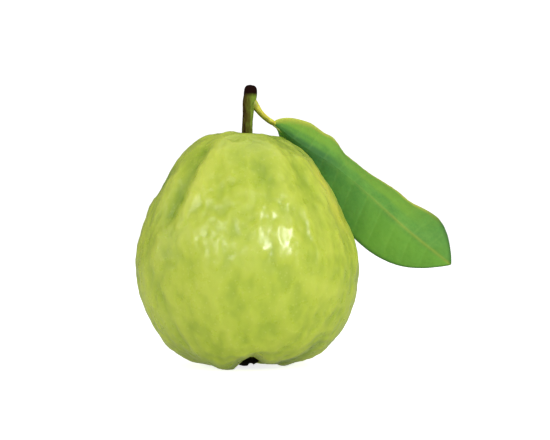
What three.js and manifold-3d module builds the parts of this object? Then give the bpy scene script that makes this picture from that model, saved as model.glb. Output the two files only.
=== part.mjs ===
// A whole guava standing on its blossom end, with its dried calyx, its cut stem and one leaf.
// Millimetres, +Z up. The front of the fruit is -Y, and an azimuth is in degrees from the front towards +X.
import * as THREE from "three";
import { mergeVertices } from "three/addons/utils/BufferGeometryUtils.js";
import Module from "manifold-3d";

const wasm = await Module();
wasm.setup();

const UP = new THREE.Vector3(0, 0, 1);
const FRONT = new THREE.Vector3(0, -1, 0);
const JOINT_GAP = 0.3; // left between pieces that touch
const { clamp, degToRad, lerp, smoothstep } = THREE.MathUtils;

// Fruit, 88 wide and 92 high. Half of its outline as [radius, height], from the middle of the blossom end,
// over the ring that it stands on, up the flank and into the stem dimple.
const FRUIT_OUTLINE = [
  [0, 7.4], [5.6, 7], [8.7, 5.2], [10.7, 2.4], [13.6, 0.8], [17.5, 1.5], [23, 3.1], [29.6, 6.7], [35.1, 12.2],
  [39.3, 19.1], [42.2, 26.7], [43.7, 34.7], [43.8, 42.8], [42.2, 50.6], [39.5, 58.3], [36.2, 65.7],
  [32.4, 73], [28.2, 80], [23, 86.1], [16.5, 90.5], [11.5, 91.8], [8, 91.5], [4.6, 89.9], [0, 89.3],
];
const FRUIT_SIDES = 84;
const FRUIT_ROWS = 46;
const FRUIT_OFFSET = 0.5; // the belly bulges this far to the right of the axis
const FRUIT_LEAN = 1.9; // and the dimple stands this far left of the belly
const FRUIT_HEIGHTS = { foot: 0, belly: 15, top: 91.8 }; // where the offset and the lean begin and end
const SMOOTH_RADII = [7, 11.5]; // no relief within the first radius, and all of it past the second

// The rim round the calyx is lobed. Three lobes hang low and carry the fruit, cut flat where they stand, and
// a negative height lifts the rim.
const LOBES = [
  { azimuth: -54, height: -0.9 },
  { azimuth: -24, height: 2.1 },
  { azimuth: 22, height: -0.7 },
  { azimuth: 58, height: -0.3 },
  { azimuth: 100, height: 0.8 },
  { azimuth: 145, height: 1.9 },
  { azimuth: 206, height: 1.7 },
  { azimuth: 262, height: 0.8 },
  { azimuth: 298, height: 0.2 },
];
const LOBE_WIDTH = 24; // degrees from its middle to where it has lost most of its height
const LOBE_REACH = 24; // the lobes fade out below this height

// Ridges (height above 0) and grooves (below 0) that run down the fruit like meridians, each between two
// heights. A fold's azimuth falls by its drift, in degrees, from its top to its foot.
const FOLDS = [
  { azimuth: -22, height: 1.2, width: 4, foot: 54, top: 98, drift: 14 },
  { azimuth: -33, height: -1.3, width: 4.2, foot: 52, top: 94, drift: 16 },
  { azimuth: -48, height: 0.5, width: 5, foot: 50, top: 92, drift: 14 },
  { azimuth: -84, height: -1, width: 9, foot: 66, top: 92, drift: 0 },
  { azimuth: 17, height: -0.5, width: 4, foot: 66, top: 97, drift: 0 },
  { azimuth: 31, height: 0.5, width: 5, foot: 50, top: 96, drift: 3 },
  { azimuth: 45, height: -0.5, width: 4, foot: 46, top: 92, drift: 3 },
  { azimuth: 58, height: 0.5, width: 4.5, foot: 42, top: 94, drift: 2 },
  { azimuth: 84, height: -0.6, width: 5, foot: 52, top: 95, drift: 0 },
  { azimuth: 112, height: 0.8, width: 6, foot: 48, top: 97, drift: 4 },
  { azimuth: 140, height: -0.7, width: 5, foot: 54, top: 94, drift: 2 },
  { azimuth: 168, height: 0.7, width: 6, foot: 50, top: 97, drift: 0 },
  { azimuth: -162, height: -0.6, width: 4, foot: 60, top: 95, drift: 0 },
  { azimuth: -132, height: 0.8, width: 6, foot: 46, top: 97, drift: 3 },
  { azimuth: -98, height: -0.5, width: 5, foot: 52, top: 95, drift: 2 },
  { azimuth: 70, height: -1.3, width: 15, foot: 82, top: 103, drift: 0 },
  { azimuth: 8, height: -3.4, width: 3.4, foot: -4, top: 8, drift: 0 },
  { azimuth: -7, height: -2.4, width: 3.4, foot: -4, top: 7, drift: 0 },
  { azimuth: -36, height: -0.5, width: 2.4, foot: 2, top: 22, drift: -4 },
  { azimuth: -50, height: -0.6, width: 2.6, foot: 4, top: 30, drift: -8 },
  { azimuth: 58, height: -1.4, width: 4.5, foot: -4, top: 11, drift: 0 },
  { azimuth: 124, height: -0.6, width: 3, foot: 1, top: 26, drift: 5 },
  { azimuth: -128, height: -0.6, width: 3, foot: 1, top: 24, drift: -5 },
  { azimuth: 172, height: -0.5, width: 3, foot: 3, top: 30, drift: 4 },
];

// Low knobs all over the skin, on a golden-angle spiral that a seeded draw unsettles.
const KNOBS = 110;
const KNOB_HEIGHT = 0.38;
const KNOB_RADIUS = 3.6;
const KNOB_SIZES = [0.6, 1.4]; // the lowest and the highest knob, as shares of KNOB_HEIGHT
const KNOB_TURN = 20; // degrees that a knob may stray from the spiral
const KNOB_FREE_RADIUS = 12; // the ends of the fruit bear none, nearer to the axis than this
const KNOB_STEPS = 400; // places along the outline to draw from
const KNOB_SEED = 7;
const GOLDEN_ANGLE = 137.50776;

// Stem: its line from inside the dimple to the cut, and its radius along that line.
const STEM_LINE = [[-0.2, 0, 86.9], [-0.05, 0, 95], [0.35, 0, 101.5], [1.05, 0, 106.5], [1.4, 0, 110.9]];
const STEM_RADII = [[0, 2.3], [0.2, 2.1], [0.5, 2.15], [0.72, 2.6], [0.88, 2.7], [0.95, 2.4], [1, 1.3]];
const STEM_SIDES = 16;
const STEM_STEPS = 14;

// Leaf stalk: from the stem's node out and down to the foot of the blade.
const STALK_LINE = [
  [0.9, 0, 105], [2.3, 0, 103.6], [3.5, 0.1, 102], [4.9, 0.5, 100.1], [6.5, 1.2, 98.5], [8.1, 2, 97.2],
  [9.6, 2.7, 96.3],
];
const STALK_RADII = [[0, 1.9], [0.3, 1.5], [0.55, 1.2], [1, 1.1]];
const STALK_SIDES = 12;
const STALK_STEPS = 12;

// Leaf blade: the line of its midrib from foot to tip, its half width, and how the two halves are folded. The
// upper half is the one that shows its edge to the sky.
const BLADE_LINE = [
  [10.2, 3.1, 96], [20.9, 13, 88.2], [35.7, 21.5, 79.2], [49.5, 27, 67.9], [66.8, 31, 52.6], [84.1, 33.5, 39],
];
const BLADE_HALF_WIDTH = 18;
const BLADE_WIDEST = 0.6; // share of the length where the blade is widest
const BLADE_ROUNDNESS = { foot: 0.62, tip: 3 }; // powers: the foot is round, the tip runs to a point
const LOWER_FOOT = 0.4; // the lower half starts this much narrower than the upper
const LOWER_FOOT_END = 0.2; // share of the length from which it is as wide
const BLADE_THICKNESS = 0.7;
const BLADE_COLUMNS = 14;
const BLADE_ROWS = 48;
const BLADE_TIP = 0.4; // half width left at the foot and the tip
// Along the leaf: share of its length, and for each half its fold at the midrib and the further turn from the
// midrib to the edge, in degrees. A negative angle lays that half back, away from the leaf's face.
const BLADE_FOLDS = [
  { at: 0, upper: -12, upperTurn: -18, lower: -62, lowerTurn: -20 },
  { at: 0.15, upper: -18, upperTurn: -20, lower: -52, lowerTurn: -26 },
  { at: 0.3, upper: -35, upperTurn: -25, lower: -26, lowerTurn: -26 },
  { at: 0.42, upper: -50, upperTurn: -28, lower: -14, lowerTurn: -25 },
  { at: 0.5, upper: -50, upperTurn: -28, lower: -10, lowerTurn: -24 },
  { at: 0.7, upper: -42, upperTurn: -26, lower: -5, lowerTurn: -20 },
  { at: 0.94, upper: -8, upperTurn: -14, lower: -11, lowerTurn: -20 },
  { at: 1, upper: -4, upperTurn: -12, lower: -14, lowerTurn: -24 },
];
const VEIN_PAIRS = 12;
const VEIN_DEPTH = 0.24;
const VEIN_START = 1 / 6; // a vein has its full depth from this share of the half width
const VEIN_SLOPE = 0.3; // how far forward along the leaf a side vein runs
const MIDRIB_RADII = [[0, 1], [0.5, 0.75], [1, 0.35]];
const MIDRIB_DROP = 0.45; // the midrib stands out under the blade
const MIDRIB_SPAN = [0.01, 0.96]; // shares of the blade's length
const MIDRIB_SIDES = 8;
const MIDRIB_STEPS = 30;

// Calyx: a low disc in the hollow, five dry sepals that splay out and down between the lobes, and the stub of
// the style.
const DISC_OUTLINE = [[0, 3.9], [2.6, 3.8], [4.2, 4.5], [4.9, 5.6], [4.2, 6.2], [0, 6.5]];
const DISC_SIDES = 24;
const DISC_ROWS = 10;
const SEPAL_AZIMUTHS = [2, 74, 175, 240, 304];
const SEPAL_RADII = [3.6, 9.8]; // from the axis, foot and tip
const SEPAL_HEIGHTS = [[0, 5.2], [0.45, 4.2], [1, 1.9]]; // at each share of its length
const SEPAL_HALF_WIDTHS = [3.5, 0.9]; // foot and tip
const SEPAL_CUP = 0.5; // how far its sides curl down
const SEPAL_THICKNESS = 0.8;
const SEPAL_COLUMNS = 4;
const SEPAL_ROWS = 6;
const STYLE_LINE = [[0, 0, 5], [0.3, 0.1, 3.4], [0.9, 0.2, 1.9]];
const STYLE_RADIUS = 0.5;
const STYLE_SIDES = 8;
const STYLE_STEPS = 4;

// A solid of a geometry, and back.
function solidOf(geometry) {
  const bare = geometry.clone();
  bare.deleteAttribute("normal");
  bare.deleteAttribute("uv");
  const merged = mergeVertices(bare, 1e-4);
  return new wasm.Manifold(new wasm.Mesh({
    numProp: 3,
    vertProperties: merged.getAttribute("position").array,
    triVerts: Uint32Array.from(merged.index.array),
  }));
}

function geometryOf(solid) {
  const mesh = solid.getMesh();
  const geometry = new THREE.BufferGeometry();
  geometry.setAttribute("position", new THREE.BufferAttribute(mesh.vertProperties, mesh.numProp));
  geometry.setIndex(new THREE.BufferAttribute(mesh.triVerts, 1));
  geometry.computeVertexNormals();
  return geometry;
}

// A value between the given [place, value] stops, eased from one to the next.
function between(stops, place) {
  const next = Math.max(1, stops.findIndex(([at]) => at >= place));
  const [[startAt, start], [endAt, end]] = [stops[next - 1], stops[next]];
  return lerp(start, end, smoothstep(place, startAt, endAt));
}

// A solid of revolution about Z, with its seam and poles merged later.
function turned(outline, rows, sides) {
  const curve = new THREE.SplineCurve(outline.map(([radius, height]) => new THREE.Vector2(radius, height)));
  const points = curve.getSpacedPoints(rows);
  points[0].x = 0;
  points[rows].x = 0;
  return new THREE.LatheGeometry(points, sides).rotateX(Math.PI / 2);
}

// A closed round bar along a line of points, its radius given along it.
function bar(line, radiusAt, sides, steps) {
  const curve = new THREE.CatmullRomCurve3(line.map((point) => new THREE.Vector3(...point)));
  const geometry = new THREE.CylinderGeometry(1, 1, 1, sides, steps);
  const position = geometry.getAttribute("position");
  for (let i = 0; i < position.count; i++) {
    const along = clamp(position.getY(i) + 0.5, 0, 1);
    const centre = curve.getPointAt(along);
    const tangent = curve.getTangentAt(along);
    const side = new THREE.Vector3().crossVectors(tangent, FRONT).normalize();
    const rise = new THREE.Vector3().crossVectors(side, tangent);
    const radius = radiusAt(along);
    centre.addScaledVector(side, position.getX(i) * radius);
    centre.addScaledVector(rise, position.getZ(i) * radius);
    position.setXYZ(i, centre.x, centre.y, centre.z);
  }
  return geometry;
}

// A closed thin blade round a surface. Both faces are split into triangles alike.
function blade(pointAt, thickness, columns, rows) {
  const vertices = [];
  const triangles = [];
  const perFace = (columns + 1) * (rows + 1);
  const index = (face, row, column) => face * perFace + row * (columns + 1) + column;
  for (const side of [0.5, -0.5]) {
    for (let row = 0; row <= rows; row++) {
      for (let column = 0; column <= columns; column++) {
        const { point, normal } = pointAt(row / rows, (2 * column) / columns - 1);
        vertices.push(...point.addScaledVector(normal, side * thickness));
      }
    }
  }
  for (let row = 0; row < rows; row++) {
    for (let column = 0; column < columns; column++) {
      const [a, b, c, d] = [[0, 0], [0, 1], [1, 0], [1, 1]].map(([r, k]) => index(0, row + r, column + k));
      triangles.push(a, b, c, b, d, c);
      triangles.push(perFace + a, perFace + c, perFace + b, perFace + b, perFace + c, perFace + d);
    }
  }
  const rim = [];
  for (let column = 0; column < columns; column++) rim.push([0, column]);
  for (let row = 0; row < rows; row++) rim.push([row, columns]);
  for (let column = columns; column > 0; column--) rim.push([rows, column]);
  for (let row = rows; row > 0; row--) rim.push([row, 0]);
  rim.forEach(([row, column], i) => {
    const [nextRow, nextColumn] = rim[(i + 1) % rim.length];
    const [top, nextTop] = [index(0, row, column), index(0, nextRow, nextColumn)];
    triangles.push(top, perFace + top, nextTop, nextTop, perFace + top, perFace + nextTop);
  });
  const geometry = new THREE.BufferGeometry();
  geometry.setAttribute("position", new THREE.Float32BufferAttribute(vertices, 3));
  geometry.setIndex(triangles);
  return geometry;
}

// Repeatable draws from 0 to 1.
function seededDraws(seed) {
  let state = seed;
  return () => {
    state = (state * 16807) % 2147483647;
    return state / 2147483647;
  };
}

// The shorter way round from one azimuth to another, in degrees.
function turnBetween(from, to) {
  return THREE.MathUtils.euclideanModulo(to - from + 180, 360) - 180;
}

function foldRelief(azimuth, radius, height) {
  let relief = 0;
  for (const fold of FOLDS) {
    const up = (height - fold.foot) / (fold.top - fold.foot);
    if (up <= 0 || up >= 1) continue;
    const off = turnBetween(fold.azimuth - fold.drift * (1 - up), azimuth);
    const across = (degToRad(off) * radius) / fold.width;
    relief += fold.height * Math.exp(-across * across) * Math.sin(Math.PI * up) ** 0.5;
  }
  return relief;
}

function lobeRelief(azimuth, height) {
  const fade = 1 - smoothstep(height, 0, LOBE_REACH);
  return LOBES.reduce((sum, lobe) => {
    const off = turnBetween(lobe.azimuth, azimuth) / LOBE_WIDTH;
    return sum + lobe.height * fade * Math.exp(-off * off);
  }, 0);
}

function knobCentres(outline) {
  const draw = seededDraws(KNOB_SEED);
  const curve = new THREE.SplineCurve(outline.map(([radius, height]) => new THREE.Vector2(radius, height)));
  const flank = curve.getSpacedPoints(KNOB_STEPS).filter((point) => point.x > KNOB_FREE_RADIUS);
  const areas = [];
  flank.reduce((sum, point) => (areas.push(sum + point.x), sum + point.x), 0);
  const whole = areas.at(-1);
  return Array.from({ length: KNOBS }, (_, i) => {
    const share = ((i + draw()) / KNOBS) * whole;
    const { x: radius, y: height } = flank[areas.findIndex((area) => area >= share)];
    const azimuth = degToRad(i * GOLDEN_ANGLE + KNOB_TURN * draw());
    const centre = new THREE.Vector3(radius * Math.sin(azimuth), -radius * Math.cos(azimuth), height);
    return { centre, size: lerp(...KNOB_SIZES, draw()) };
  });
}

function knobRelief(point, knobs) {
  let relief = 0;
  for (const { centre, size } of knobs) {
    const off = point.distanceTo(centre) / KNOB_RADIUS;
    if (off < 2) relief += KNOB_HEIGHT * size * Math.exp(-off * off);
  }
  return relief;
}

function fruit(stem) {
  const geometry = turned(FRUIT_OUTLINE, FRUIT_ROWS, FRUIT_SIDES);
  const position = geometry.getAttribute("position");
  const normal = geometry.getAttribute("normal");
  const knobs = knobCentres(FRUIT_OUTLINE);
  const { foot, belly, top } = FRUIT_HEIGHTS;
  for (let i = 0; i < position.count; i++) {
    const point = new THREE.Vector3().fromBufferAttribute(position, i);
    const outward = new THREE.Vector3().fromBufferAttribute(normal, i);
    const radius = Math.hypot(point.x, point.y);
    const azimuth = THREE.MathUtils.radToDeg(Math.atan2(point.x, -point.y));
    const offAxis = smoothstep(radius, ...SMOOTH_RADII);
    const folds = foldRelief(azimuth, radius, point.z);
    const relief = folds + lobeRelief(azimuth, point.z) + knobRelief(point, knobs);
    point.addScaledVector(outward, relief * offAxis);
    point.x += FRUIT_OFFSET * smoothstep(point.z, foot, belly) - FRUIT_LEAN * smoothstep(point.z, belly, top);
    position.setXYZ(i, point.x, point.y, point.z);
  }
  const floor = new THREE.BoxGeometry(2 * top, 2 * top, belly).translate(0, 0, -belly / 2);
  return geometryOf(solidOf(geometry).subtract(solidOf(floor)).subtract(solidOf(stem)));
}

function stemAt(swell) {
  const [footX, footY, footZ] = STEM_LINE[0];
  const line = [[footX, footY, footZ - swell], ...STEM_LINE.slice(1)];
  return bar(line, (along) => between(STEM_RADII, along) + swell, STEM_SIDES, STEM_STEPS);
}

function leafStalk() {
  const stalk = bar(STALK_LINE, (along) => between(STALK_RADII, along), STALK_SIDES, STALK_STEPS);
  return geometryOf(solidOf(stalk).subtract(solidOf(stemAt(JOINT_GAP))));
}

function bladeHalfWidth(along) {
  const { foot, tip } = BLADE_ROUNDNESS;
  const rise = along < BLADE_WIDEST
    ? Math.sin((Math.PI / 2) * (along / BLADE_WIDEST)) ** foot
    : 1 - ((along - BLADE_WIDEST) / (1 - BLADE_WIDEST)) ** tip;
  return BLADE_TIP + (BLADE_HALF_WIDTH - BLADE_TIP) * rise;
}

function bladeFold(key, along) {
  return degToRad(between(BLADE_FOLDS.map((stop) => [stop.at, stop[key]]), along));
}

// The side veins press the face in. Each row of the blade runs out and forward from the midrib as they do.
function veinRelief(row, across) {
  const nearVein = 0.5 - 0.5 * Math.cos(2 * Math.PI * VEIN_PAIRS * row);
  return -VEIN_DEPTH * nearVein * (1 - across ** 2) * Math.min(1, Math.abs(across) / VEIN_START);
}

function leafBlade() {
  const curve = new THREE.CatmullRomCurve3(BLADE_LINE.map((point) => new THREE.Vector3(...point)));
  const frameAt = (along) => {
    const tangent = curve.getTangentAt(along);
    const face = FRONT.clone().addScaledVector(tangent, -FRONT.dot(tangent)).normalize();
    return { centre: curve.getPointAt(along), tangent, face };
  };
  const pointAt = (row, across) => {
    const along = row + VEIN_SLOPE * Math.abs(across) * row * (1 - row);
    const { centre, tangent, face } = frameAt(along);
    const half = across < 0 ? "upper" : "lower";
    const outward = new THREE.Vector3().crossVectors(tangent, face).multiplyScalar(across < 0 ? -1 : 1);
    const start = bladeFold(half, along);
    const turn = bladeFold(`${half}Turn`, along) * Math.abs(across);
    const opened = half === "upper" ? 1 : lerp(LOWER_FOOT, 1, smoothstep(along, 0, LOWER_FOOT_END));
    const reach = Math.abs(across) * bladeHalfWidth(along) * opened;
    centre.addScaledVector(outward, reach * Math.cos(start + turn / 2));
    centre.addScaledVector(face, reach * Math.sin(start + turn / 2));
    const lean = across === 0 ? 0 : start + turn;
    const normal = face.clone().multiplyScalar(Math.cos(lean)).addScaledVector(outward, -Math.sin(lean));
    return { point: centre.addScaledVector(normal, veinRelief(row, across)), normal };
  };
  const midribLine = BLADE_LINE.map((point, i, { length }) => {
    const { centre, face } = frameAt(lerp(...MIDRIB_SPAN, i / (length - 1)));
    return centre.addScaledVector(face, -MIDRIB_DROP).toArray();
  });
  const midrib = bar(midribLine, (along) => between(MIDRIB_RADII, along), MIDRIB_SIDES, MIDRIB_STEPS);
  const surface = blade(pointAt, BLADE_THICKNESS, BLADE_COLUMNS, BLADE_ROWS);
  return geometryOf(solidOf(surface).add(solidOf(midrib)));
}

function sepal() {
  const [foot, tip] = SEPAL_RADII;
  const pointAt = (along, across) => {
    const halfWidth = lerp(...SEPAL_HALF_WIDTHS, 1 - Math.sqrt(Math.cos((Math.PI / 2) * along)));
    const height = between(SEPAL_HEIGHTS, along) - SEPAL_CUP * across * across;
    const point = new THREE.Vector3(across * halfWidth, -lerp(foot, tip, along), height);
    return { point, normal: UP.clone().negate() };
  };
  return blade(pointAt, SEPAL_THICKNESS, SEPAL_COLUMNS, SEPAL_ROWS);
}

function calyx() {
  const disc = turned(DISC_OUTLINE, DISC_ROWS, DISC_SIDES);
  let solid = solidOf(disc);
  for (const azimuth of SEPAL_AZIMUTHS) {
    solid = solid.add(solidOf(sepal().rotateZ(degToRad(azimuth))));
  }
  const style = bar(STYLE_LINE, () => STYLE_RADIUS, STYLE_SIDES, STYLE_STEPS);
  return geometryOf(solid.add(solidOf(style)));
}

function piece(name, geometry, color, roughness) {
  const mesh = new THREE.Mesh(geometry, new THREE.MeshStandardMaterial({ color, roughness, metalness: 0 }));
  mesh.name = name;
  return mesh;
}

const guava = new THREE.Group();
guava.add(
  piece("fruit", fruit(stemAt(JOINT_GAP)), "#b6c84a", 0.42),
  piece("calyx", calyx(), "#2a1c10", 0.9),
  piece("stem", stemAt(0), "#5d5c20", 0.75),
  piece("leaf_stalk", leafStalk(), "#b5b62a", 0.5),
  piece("leaf_blade", leafBlade(), "#5f963c", 0.5),
);

// The origin is under the middle of the whole object, on the surface that it stands on.
const bounds = new THREE.Box3().setFromObject(guava, true);
const middle = bounds.getCenter(new THREE.Vector3());
guava.position.set(-middle.x, -middle.y, -bounds.min.z);

export default guava;
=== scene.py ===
# A whole guava standing on its blossom end, with its dried calyx, its cut stem and one leaf.
# Metres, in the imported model's frame: +Z up, the front of the fruit towards -Y.
import math

import bpy
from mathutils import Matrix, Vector, noise


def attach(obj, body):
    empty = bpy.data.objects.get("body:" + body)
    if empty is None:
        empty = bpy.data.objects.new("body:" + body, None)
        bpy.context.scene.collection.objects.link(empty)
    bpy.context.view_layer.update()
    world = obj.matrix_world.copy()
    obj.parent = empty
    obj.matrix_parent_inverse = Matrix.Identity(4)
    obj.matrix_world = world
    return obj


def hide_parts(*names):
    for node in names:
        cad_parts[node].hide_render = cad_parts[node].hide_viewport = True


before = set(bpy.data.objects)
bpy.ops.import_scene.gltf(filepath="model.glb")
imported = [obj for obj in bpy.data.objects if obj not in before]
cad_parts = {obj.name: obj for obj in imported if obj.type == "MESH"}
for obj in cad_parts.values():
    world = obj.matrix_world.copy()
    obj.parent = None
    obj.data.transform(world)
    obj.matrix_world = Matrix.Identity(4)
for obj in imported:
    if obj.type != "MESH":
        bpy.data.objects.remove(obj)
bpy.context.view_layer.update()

# The view: level, 600 mm in front of the fruit's core and a little to its right, so that the whole leaf is
# in the picture. Places on the object are given in mm from the core, where the fruit's axis meets the floor.
MM = 0.001
CORE = Vector((-20.17, -0.15, 0)) * MM
VIEW_DISTANCE = 600 * MM
VIEW_HEIGHT = 57.6 * MM
VIEW_RIGHT = 10.84 * MM
VIEW_WIDTH = 216.7 * MM  # what the picture takes in across the core

lens = bpy.data.cameras.new("view")
lens.lens = lens.sensor_width * VIEW_DISTANCE / VIEW_WIDTH
camera = bpy.data.objects.new("camera", lens)
camera.location = CORE + Vector((VIEW_RIGHT, -VIEW_DISTANCE, VIEW_HEIGHT))
camera.rotation_euler = (math.radians(90), 0, 0)
bpy.context.collection.objects.link(camera)
bpy.context.scene.camera = camera

# The fruit: one pear-shaped berry with a waxy yellow-green peel over firm flesh. It grew round its core, so
# its outline is turned about the axis, and ridges, grooves and knobs run over it. It stands on three lobes.
FRUIT_OUTLINE = [  # radius and height in mm, from inside the calyx hollow to the foot of the stem dimple
    (0, 7.4), (5.6, 7), (8.7, 5.2), (10.7, 2.4), (13.6, 0.8), (17.5, 1.5), (23, 3.1), (29.6, 6.7),
    (35.1, 12.2), (39.3, 19.1), (42.2, 26.7), (43.7, 34.7), (43.8, 42.8), (42.2, 50.6), (39.5, 58.3),
    (36.2, 65.7), (32.4, 73), (28.2, 80), (23, 86.1), (16.5, 90.5), (11.5, 91.8), (8, 91.5), (4.6, 89.9),
    (0, 89.3),
]
FRUIT_SIDES = 384
FRUIT_ROWS = 216
BELLY_OFFSET = 0.5 * MM  # the belly bulges this far to the right of the core
BELLY_FOOT = 15 * MM  # height from which it does
DIMPLE_LEAN = 1.9 * MM  # and the dimple stands this far left of the belly
FRUIT_TOP = 91.8 * MM
SMOOTH_WITHIN = 7 * MM  # no relief nearer to the axis than this,
ROUGH_BEYOND = 11.5 * MM  # and all of it further out than this
LOBES = [  # azimuth in degrees, height in mm
    (-54, -0.9), (-24, 2.1), (22, -0.7), (58, -0.3), (100, 0.8), (145, 1.9), (206, 1.7), (262, 0.8),
    (298, 0.2),
]
LOBE_WIDTH = 24.0  # degrees
LOBE_REACH = 24 * MM
# Ridges and grooves: azimuth, height, width, foot, top, and how far the azimuth falls from top to foot. The
# last four, in degrees and mm like the others, are the fine ridges that glint.
FOLDS = [
    (-22, 1.2, 4, 54, 98, 14), (-33, -1.3, 4.2, 52, 94, 16), (-48, 0.5, 5, 50, 92, 14),
    (-84, -1, 9, 66, 92, 0), (17, -0.5, 4, 66, 97, 0), (31, 0.5, 5, 50, 96, 3), (45, -0.5, 4, 46, 92, 3),
    (58, 0.5, 4.5, 42, 94, 2), (84, -0.6, 5, 52, 95, 0), (112, 0.8, 6, 48, 97, 4),
    (140, -0.7, 5, 54, 94, 2), (168, 0.7, 6, 50, 97, 0), (-162, -0.6, 4, 60, 95, 0),
    (-132, 0.8, 6, 46, 97, 3), (-98, -0.5, 5, 52, 95, 2), (70, -1.3, 15, 82, 103, 0),
    (-36, -0.5, 2.4, 2, 22, -4), (-50, -0.6, 2.6, 4, 30, -8), (58, -1.4, 4.5, -4, 11, 0),
    (124, -0.6, 3, 1, 26, 5), (-128, -0.6, 3, 1, 24, -5), (172, -0.5, 3, 3, 30, 4),
    (26, 0.35, 1.5, 50, 65, 0), (37, 0.3, 1.6, 48, 64, 0), (17.5, 0.35, 1.6, 44, 58, 0),
    (12.5, 0.3, 1.5, 60, 73, -3),
]
NOTCH = [(8, -3.4, 3.4, -4, 8, 0), (-7, -2.4, 3.4, -4, 7, 0)]  # the gap in the lobes, in the same terms
KNOB_HEIGHT = 0.8 * MM
KNOB_SPACING = 8.5 * MM
PIMPLE_HEIGHT = 0.44 * MM
PIMPLE_SPACING = 3.0 * MM
KNOB_STRETCH = (1.0, 1.0, 0.65)  # both are longer along the fruit than across it
KNOB_LEVEL = 0.56  # the share of the noise below which they are hollows


def linear(colour):
    """A colour for a shader from its sRGB hex value."""
    channels = [int(colour[place:place + 2], 16) / 255 for place in (1, 3, 5)]
    return (*[c / 12.92 if c <= 0.04045 else ((c + 0.055) / 1.055) ** 2.4 for c in channels], 1)


def feed(tree, node, links):
    """Gives a node's inputs, by their names or places, a value or a source."""
    for place, value in links.items():
        if isinstance(place, str):
            place = next(i for i, at in enumerate(node.inputs) if at.enabled and at.name == place)
        if isinstance(value, bpy.types.Node):
            value = next(socket for socket in value.outputs if socket.enabled)
        if isinstance(value, bpy.types.NodeSocket):
            tree.links.new(value, node.inputs[place])
        else:
            node.inputs[place].default_value = value


def add(tree, kind, links=None, stops=None, **settings):
    """Adds a node with its settings. links feeds its inputs, and stops gives a ramp its colours."""
    node = tree.nodes.new(kind)
    for name, value in settings.items():
        setattr(node, name, value)
    feed(tree, node, links or {})
    if stops:
        elements = node.color_ramp.elements
        while len(elements) < len(stops):
            elements.new(0.5)
        for element, (position, colour) in zip(elements, stops.items()):
            element.position = position
            element.color = linear(colour)
    return node


def new_tree(name, inputs, output="Geometry"):
    """A node group with named inputs, given as {name: kind of socket}, and one output."""
    tree = bpy.data.node_groups.new(name, "GeometryNodeTree")
    for label, kind in inputs.items():
        tree.interface.new_socket(label, in_out="INPUT", socket_type="NodeSocket" + kind)
    tree.interface.new_socket("Result", in_out="OUTPUT", socket_type="NodeSocket" + output)
    return tree, tree.nodes.new("NodeGroupInput").outputs


def close_tree(tree, geometry, material):
    """Ends a tree with its geometry smooth, real and in its material."""
    geometry = add(tree, "GeometryNodeSetShadeSmooth", {"Geometry": geometry})
    geometry = add(tree, "GeometryNodeRealizeInstances", {"Geometry": geometry})
    geometry = add(tree, "GeometryNodeSetMaterial", {"Geometry": geometry, "Material": material})
    add(tree, "NodeGroupOutput", {"Result": geometry})
    return tree


def new_material(name):
    """A material, its tree, its Principled shader, and the places on the object to draw patterns by."""
    material = bpy.data.materials.new(name)
    material.use_nodes = True
    tree = material.node_tree
    place = add(tree, "ShaderNodeTexCoord").outputs["Object"]
    return material, tree, tree.nodes["Principled BSDF"], place


def grow(name, tree, lines, **values):
    """Runs a tree on lines of points and keeps what it makes as a plain mesh piece.

    A line is a list of (place in mm from the core, measure), and the tree says what a measure is.
    """
    stops = [stop for line in lines for stop in line]
    ends = {sum(len(line) for line in lines[:i + 1]) - 1 for i in range(len(lines))}
    seed_mesh = bpy.data.meshes.new(name)
    seed_mesh.from_pydata(
        [Vector(place) * MM for place, _ in stops],
        [(i, i + 1) for i in range(len(stops) - 1) if i not in ends], [],
    )
    measures = seed_mesh.attributes.new("measure", "FLOAT", "POINT")
    measures.data.foreach_set("value", [measure for _, measure in stops])
    source = bpy.data.objects.new(name + ".source", seed_mesh)
    bpy.context.collection.objects.link(source)
    modifier = source.modifiers.new(tree.name, "NODES")
    modifier.node_group = tree
    for item in tree.interface.items_tree:
        if item.in_out == "INPUT" and item.name in values:
            modifier[item.identifier] = values[item.name]
    graph = bpy.context.evaluated_depsgraph_get()
    mesh = bpy.data.meshes.new_from_object(
        source.evaluated_get(graph), preserve_all_data_layers=True, depsgraph=graph
    )
    source.modifiers.remove(modifier)
    bpy.data.objects.remove(source)
    piece = bpy.data.objects.new(name, mesh)
    bpy.context.collection.objects.link(piece)
    return piece


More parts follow.
